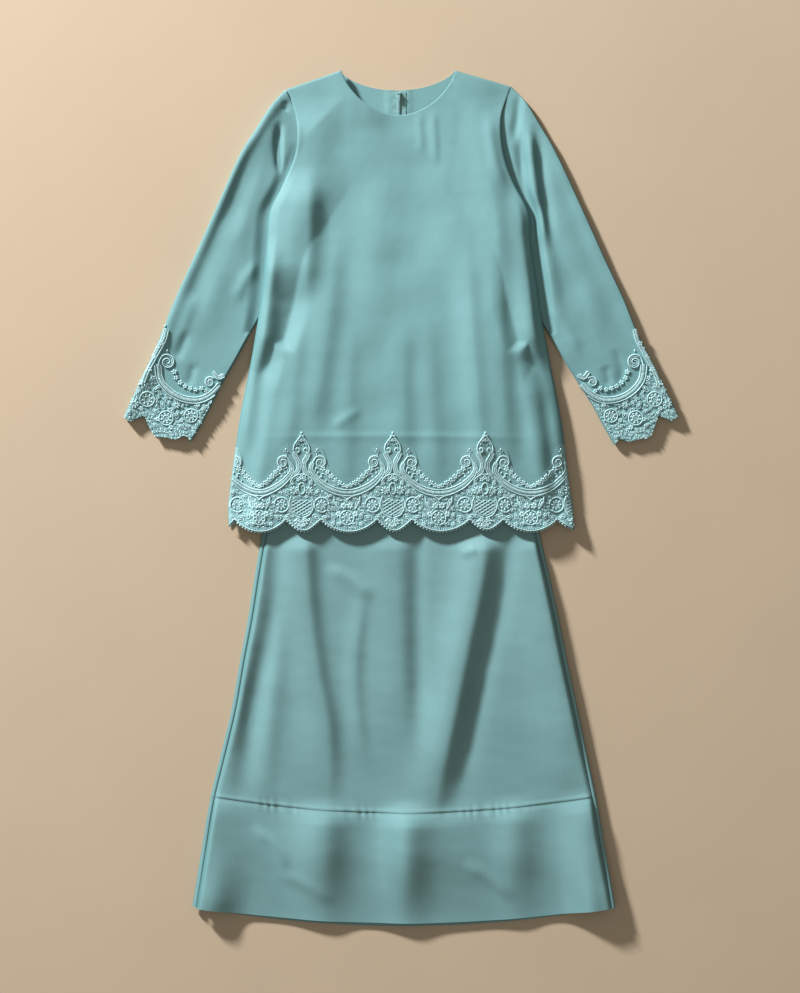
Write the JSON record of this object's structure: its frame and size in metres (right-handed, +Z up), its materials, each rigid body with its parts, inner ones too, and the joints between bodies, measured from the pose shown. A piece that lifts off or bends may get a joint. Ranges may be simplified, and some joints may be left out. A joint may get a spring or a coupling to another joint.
{
  "type": "baju kurung, tunic and long skirt laid flat",
  "caption": "Long-sleeved crepe tunic with corded lace at hem and cuffs, laid flat over its long banded satin skirt.",
  "frame": {"origin": "middle of the laid-out set, on the surface it lies on", "axes": "+Y towards the tunic's neck, +X to the viewer's right seen from above, +Z up from the surface"},
  "size_m": [0.942, 1.4531, 0.0223],
  "materials": {
    "crepe": "matte crepe-backed satin, crepe side out",
    "satin": "soft-sheen duchess satin",
    "corded_lace": "raised rayon cord on a fine net",
    "zip_tape": "woven tape",
    "zip_teeth": "nylon coil",
    "painted_zip_metal": "enamelled to match the cloth"
  },
  "bodies": {
    "garment": {"tunic_front": "crepe", "tunic_back_left": "crepe", "tunic_back_right": "crepe", "sleeve_left": "crepe", "sleeve_right": "crepe", "lace_hem_front": "corded_lace", "lace_hem_back": "corded_lace", "lace_cuff_left_front": "corded_lace", "lace_cuff_left_back": "corded_lace", "lace_cuff_right_front": "corded_lace", "lace_cuff_right_back": "corded_lace", "skirt_front": "satin", "skirt_back": "satin", "skirt_band_front": "satin", "skirt_band_back": "satin", "waistband": "satin", "zip_tape_left": "zip_tape", "zip_tape_right": "zip_tape", "zip_chain": "zip_teeth", "zip_slider": "painted_zip_metal"},
    "pull_tab": {"zip_pull": "painted_zip_metal"}
  },
  "joints": [
    {"name": "pull_tab_swing", "type": "hinge", "parent": "garment", "child": "pull_tab", "pos_m": [-0.004, 0.687, 0.0061], "axis": [-1, 0, 0], "range_deg": [0, 170]}
  ]
}
